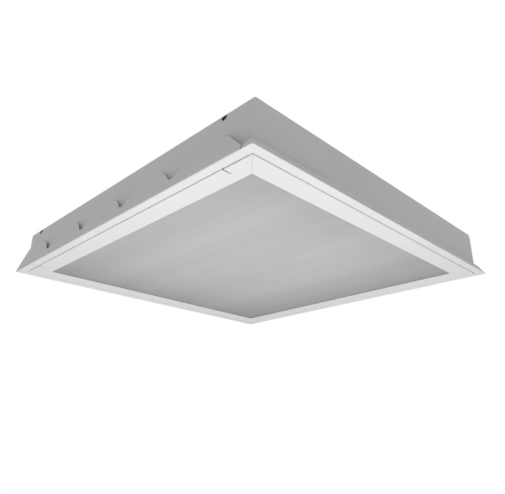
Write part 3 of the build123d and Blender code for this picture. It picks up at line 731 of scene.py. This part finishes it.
@dataclass
class Screws:
    """Pan-head sheet-metal screws with a cross recess and a rolled thread.

    Args:
        node: the CAD node that they stand for.
        body: the body that they ride on.
        down: whether the heads point down.
        head: height of the head.
        shank: radius over the thread.
        root: radius between the threads, as a share of the shank.
        thread: pitch of the thread.
        recess: depth of the cross recess.
        arm: half the width of the recess's arms.
        sides: steps round the axis.
    """

    node: str
    body: str = "housing"
    down: bool = True
    head: float = 1.6 * MM
    shank: float = 1.6 * MM
    root: float = 0.8
    thread: float = 0.55 * MM
    recess: float = 0.9 * MM
    arm: float = 0.42 * MM
    sides: int = 32

    def build(self) -> None:
        """Make the screws.

        The head is a dome of height h (1 - (r / R) squared) above a short rim. Its recess
        sinks each point by how far it lies inside one of two crossed slots. The thread's
        radius rises and falls once a turn along the shank, which ends in a blunt point.
        """
        boxes = solid_boxes(self.node, reach=9 * MM)
        radius = (boxes[0, 1, 0] - boxes[0, 0, 0]) / 2
        length = boxes[0, 1, 2] - boxes[0, 0, 2] - self.head
        ring = radius * np.array([0, 0.12, 0.2, 0.28, 0.36, 0.44, 0.52, 0.6, 0.75, 0.9, 0.98, 1, 1])
        rim = 0.3 * self.head
        dome = rim + (self.head - rim) * (1 - (ring / radius) ** 2)
        dome[-2:] = (rim * 0.8, 0)
        turns = int(length / self.thread)
        root = self.shank * self.root
        thread_z = -np.linspace(0, length * 0.92, 2 * turns + 1)
        thread_r = np.where(np.arange(2 * turns + 1) % 2, self.shank, root)
        profile = np.concatenate([np.stack([ring, dome], -1), np.stack([thread_r, thread_z], -1),
                                  [[root * 0.6, -length], [0, -length]]])
        turn = np.arange(self.sides) * 2 * math.pi / self.sides
        x = ring[:, None] * np.cos(turn)
        y = ring[:, None] * np.sin(turn)
        across = np.minimum(np.abs(x), np.abs(y))
        along = np.maximum(np.abs(x), np.abs(y))
        inside = np.clip((self.arm - across) / (0.2 * self.arm), 0, 1)
        reach = np.clip((0.52 * radius - along) / (0.16 * radius), 0, 1)
        lift = np.zeros((len(profile), self.sides))
        lift[:len(ring)] = -self.recess * inside * reach
        screw = turned(profile, self.sides, lift)
        middle = (boxes[:, 0] + boxes[:, 1]) / 2
        seat = boxes[:, 0, 2] + self.head if self.down else boxes[:, 1, 2] - self.head
        places = np.stack([middle[:, 0], middle[:, 1], seat], -1)
        flip = Matrix.Rotation(math.pi if self.down else 0.0, 3, "X")
        screw.copies(places, flip).piece(f"{self.node}_crossed", Palette.ZINC, self.body,
                                         replaced=self.node, sharp=30)


@dataclass
class Rivets:
    """Blind rivets: a low dome with the mandrel's hole in its middle.

    Args:
        node: the CAD node that they stand for.
        axis: the way the heads face, 2 for up and 0 for towards +X.
        head: height of the head.
        hole: radius of the mandrel's hole.
        tail: radius of the tail.
        sides: steps round the axis.
    """

    node: str
    axis: int = 2
    head: float = 1.1 * MM
    hole: float = 0.95 * MM
    tail: float = 1.6 * MM
    sides: int = 28

    def build(self) -> None:
        """Make the rivets.

        The head is an arc of height h (1 - (r / R) squared), cut by the hole, with the broken
        mandrel standing in it.
        """
        boxes = solid_boxes(self.node, reach=7.6 * MM)
        if self.axis == 0:
            boxes = np.concatenate([split_in_height(box) for box in boxes])
        size = boxes[0, 1] - boxes[0, 0]
        radius = size[(self.axis + 1) % 3] / 2
        length = size[self.axis] - self.head
        mandrel = 0.6 * self.hole
        dome = np.linspace(self.hole, radius * 0.97, 6)
        rim = 0.3 * self.head
        heights = rim + (self.head - rim) * (1 - (dome / radius) ** 2)
        profile = np.concatenate([
            [[0, 0.6 * self.head], [mandrel, 0.55 * self.head],
             [0.62 * self.hole, 0.35 * self.head], [0.98 * self.hole, 0.35 * self.head]],
            np.stack([dome, heights], -1),
            [[radius, rim * 0.7], [radius, 0], [self.tail, 0], [self.tail, -length * 0.85],
             [self.tail * 0.7, -length], [0, -length]]])
        rivet = turned(profile, self.sides)
        places = (boxes[:, 0] + boxes[:, 1]) / 2
        places[:, self.axis] = boxes[:, 1, self.axis] - self.head
        turn = Matrix.Rotation(math.pi / 2 if self.axis == 0 else 0.0, 3, "Y")
        rivet.copies(places, turn).piece(f"{self.node}_domed", Palette.ZINC, "housing",
                                         replaced=self.node, sharp=30)


def split_in_height(box: np.ndarray) -> np.ndarray:
    """Boxes of two round solids that stand one over the other.

    Args:
        box: the box round both, as wide as each of them.

    Returns:
        Two boxes, the lower one first.
    """
    width = box[1, 1] - box[0, 1]
    lower = np.array([box[0], [box[1, 0], box[1, 1], box[0, 2] + width]])
    upper = np.array([[box[0, 0], box[0, 1], box[1, 2] - width], box[1]])
    return np.array([lower, upper])


@dataclass
class Emitters:
    """The small white packages on the boards, each with a round pool of phosphor.

    Args:
        pool: radius of the pool.
        sink: how far the pool lies under the rim.
        draft: how much the package narrows towards its face.
        sides: points in each ring of a package.
    """

    pool: float = 1.12 * MM
    sink: float = 0.12 * MM
    draft: float = 0.12 * MM
    sides: int = 16

    def build(self) -> None:
        """Make the packages, the solder pads behind them and the pools of phosphor.

        A package is rings of points, from a square foot to a square face and on to the pool's
        round rim. A point of a square ring is the circle's point divided by the larger of its
        two coordinates.
        """
        boxes = solid_boxes("emitters", reach=6 * MM)
        size = boxes[0, 1] - boxes[0, 0]
        turn = (np.arange(self.sides) + 0.5) * 2 * math.pi / self.sides
        circle = np.stack([np.cos(turn), np.sin(turn)], -1)
        square = circle / np.abs(circle).max(1, keepdims=True)
        half = size[0] / 2
        tall = size[2]
        rings = [(square * half, 0.0), (square * (half - self.draft), -tall),
                 (circle * self.pool, -tall), (circle * self.pool * 0.93, self.sink - tall)]
        points = np.concatenate([np.column_stack([ring, np.full(self.sides, z)]) for ring, z in rings])
        package = Surface(points, grid_faces(len(rings), self.sides, wrap=True)[:, ::-1])
        middle = (boxes[:, 0] + boxes[:, 1]) / 2
        places = np.stack([middle[:, 0], middle[:, 1], boxes[:, 1, 2]], -1)
        first = np.arange(self.sides)
        pad = Surface(np.concatenate([points[:self.sides], [[0, 0, 0]]]),
                      np.stack([first, np.roll(first, -1), np.full(self.sides, self.sides)], -1))
        package.copies(places).piece("emitter_packages", Palette.PLUG, "housing")
        pad.copies(places).piece("emitter_pads", Palette.ZINC, "housing")
        dish = np.array([[0, 0.05 * MM], [0.5 * self.pool, 0.04 * MM],
                         [0.93 * self.pool, 0], [0, -0.02 * MM]])
        down = Matrix.Rotation(math.pi, 3, "X")
        pools = turned(dish, self.sides).copies(places + [0, 0, self.sink - tall], down)
        pools.piece("emitter_pools", Palette.EMITTER, "housing", replaced="emitters")


# ------------------------------------------------------------------------------ studio
@dataclass
class Camera:
    """The photograph's camera, solved from the four corners of the flange.

    Args:
        place: its place, in metres.
        heading: from +X towards +Y, in degrees.
        pitch: upwards, in degrees.
        roll: in degrees.
        lens: focal length for a 36 mm sensor.
    """

    place: Triple = (-0.6204, -0.6186, -0.2900)
    heading: float = 44.79
    pitch: float = 21.22
    roll: float = 0.166
    lens: float = 36.203

    def build(self) -> None:
        """Make the camera."""
        data = bpy.data.cameras.new("camera")
        data.sensor_width = 36.0
        data.lens = self.lens
        data.clip_start = 0.01
        data.clip_end = 100.0
        camera = bpy.data.objects.new("camera", data)
        heading, pitch = math.radians(self.heading), math.radians(self.pitch)
        forward = Vector((math.cos(pitch) * math.cos(heading),
                          math.cos(pitch) * math.sin(heading), math.sin(pitch)))
        camera.rotation_mode = "QUATERNION"
        roll = Matrix.Rotation(math.radians(self.roll), 3, "Z").to_quaternion()
        camera.rotation_quaternion = forward.to_track_quat("-Z", "Y") @ roll
        camera.location = self.place
        bpy.context.scene.collection.objects.link(camera)
        bpy.context.scene.camera = camera


@dataclass(frozen=True)
class Lamp:
    """A large soft lamp that the camera doesn't see.

    Args:
        name: its name.
        place: its place, in metres.
        aim: the point that it faces.
        size: its width, in metres.
        power: its power, in watts.
    """

    name: str
    place: Triple
    aim: Triple
    size: float
    power: float

    def build(self) -> None:
        """Make the lamp."""
        data = bpy.data.lights.new(self.name, "AREA")
        data.shape = "DISK"
        data.size = self.size
        data.energy = self.power
        lamp = bpy.data.objects.new(self.name, data)
        lamp.location = self.place
        way = Vector(self.aim) - Vector(self.place)
        lamp.rotation_mode = "QUATERNION"
        lamp.rotation_quaternion = way.to_track_quat("-Z", "Y")
        lamp.visible_camera = False
        bpy.context.scene.collection.objects.link(lamp)


@dataclass(frozen=True)
class StudioFloor:
    """Pale matt floor that turns white far from the object, where it meets the surround.

    Args:
        colour: linear colour of the floor.
        near: radius inside which it shows its own colour.
        far: radius from which it is white.
    """

    colour: Triple = (0.80, 0.80, 0.80)
    near: float = 1.6
    far: float = 6.5

    def material(self, name: str) -> bpy.types.Material:
        """Build the finish as a material.

        Args:
            name: the material's name.

        Returns:
            The finished material.
        """
        graph = Graph.of_material(name)
        cloud = graph.noise(scale=1.5, detail=2)
        flat = graph.add("ShaderNodeVectorMath", {"operation": "MULTIPLY"},
                         {0: graph.place, 1: (1, 1, 0)})
        radius = graph.add("ShaderNodeVectorMath", {"operation": "LENGTH"}, {0: flat.outputs[0]})
        fade = Signal(graph, radius.outputs["Value"]).ramp(self.near, self.far)
        own = graph.add("ShaderNodeBsdfDiffuse", None,
                        {"Color": graph.blend(cloud, shade(self.colour, 0.98), self.colour)})
        white = graph.add("ShaderNodeEmission", None, {"Color": (1, 1, 1, 1), "Strength": 1.0})
        mix = graph.add("ShaderNodeMixShader", None,
                        {0: fade * graph.background_rays(), 1: own.outputs[0], 2: white.outputs[0]})
        graph.tree.links.new(mix.outputs[0], graph.output.inputs[0])
        return graph.owner


@dataclass
class Studio:
    """A pale floor far below the light, soft lamps and a white surround.

    Args:
        floor: height of the floor.
        reach: radius of the floor.
        level: strength of the surround's light.
        lamps: the lamps: one under the near corner, one over the floor and one overhead.
    """

    floor: float = -1.25
    reach: float = 9.0
    level: float = 0.45
    lamps: tuple[Lamp, ...] = (
        Lamp("lamp_near", place=(-0.22, -0.22, -0.70), aim=(-0.22, -0.22, 0.0), size=0.30, power=1.93),
        Lamp("lamp_floor", place=(0.0, 0.0, -1.20), aim=(0.0, 0.0, 0.0), size=3.4, power=9.4),
        Lamp("lamp_above", place=(1.2, 1.2, 3.2), aim=(0.0, 0.0, -0.6), size=2.6, power=53.0),
    )

    def build(self) -> None:
        """Make the floor, the surround and the lamps."""
        self.build_floor()
        self.build_surround()
        for lamp in self.lamps:
            lamp.build()

    def build_floor(self) -> None:
        """Make the floor, a thin disc of points on rings round the middle."""
        profile = np.array([[0, 0], [0.25 * self.reach, 0], [self.reach, 0],
                            [self.reach, -2 * MM], [0, -2 * MM]])
        disc = turned(profile, sides=96)
        mesh = bpy.data.meshes.new("floor")
        mesh.from_pydata((disc.points + [0, 0, self.floor]).tolist(), [], disc.faces.tolist())
        mesh.materials.append(StudioFloor().material("floor_paint"))
        floor = bpy.data.objects.new("floor", mesh)
        bpy.context.scene.collection.objects.link(floor)
        floor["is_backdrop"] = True

    def build_surround(self) -> None:
        """Make the surround: white where it is seen or mirrored, and dimmer as a light."""
        world = bpy.data.worlds.new("surround")
        bpy.context.scene.world = world
        graph = Graph(world)
        strength = self.level + graph.background_rays() * (1 - self.level)
        background = graph.add("ShaderNodeBackground", None,
                               {"Color": (1, 1, 1, 1), "Strength": strength})
        graph.tree.links.new(background.outputs[0], graph.output.inputs[0])


# ------------------------------------------------------------------------------ whole scene
def corners() -> list[list[float]]:
    """Lowest and highest corner of what shows, as plain lists."""
    return [list(corner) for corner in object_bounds()]


def main() -> None:
    """Dress the frame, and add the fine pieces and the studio."""
    logging.basicConfig(level=logging.INFO, format="%(name)s: %(message)s")
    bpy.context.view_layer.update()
    scene = bpy.context.scene
    scene.view_settings.view_transform = "Standard"
    dress_frame()
    for part in (
        Lens(),
        Screws("board_screws"),
        Screws("cover_screws"),
        Screws("driver_screws"),
        Screws("access_screws", down=False),
        Rivets("pan_rivets"),
        Rivets("strap_rivets", axis=0),
        Emitters(),
        Studio(),
        Camera(),
    ):
        part.build()
        log.info("built %s", type(part).__name__)


if __name__ == "__main__":
    main()
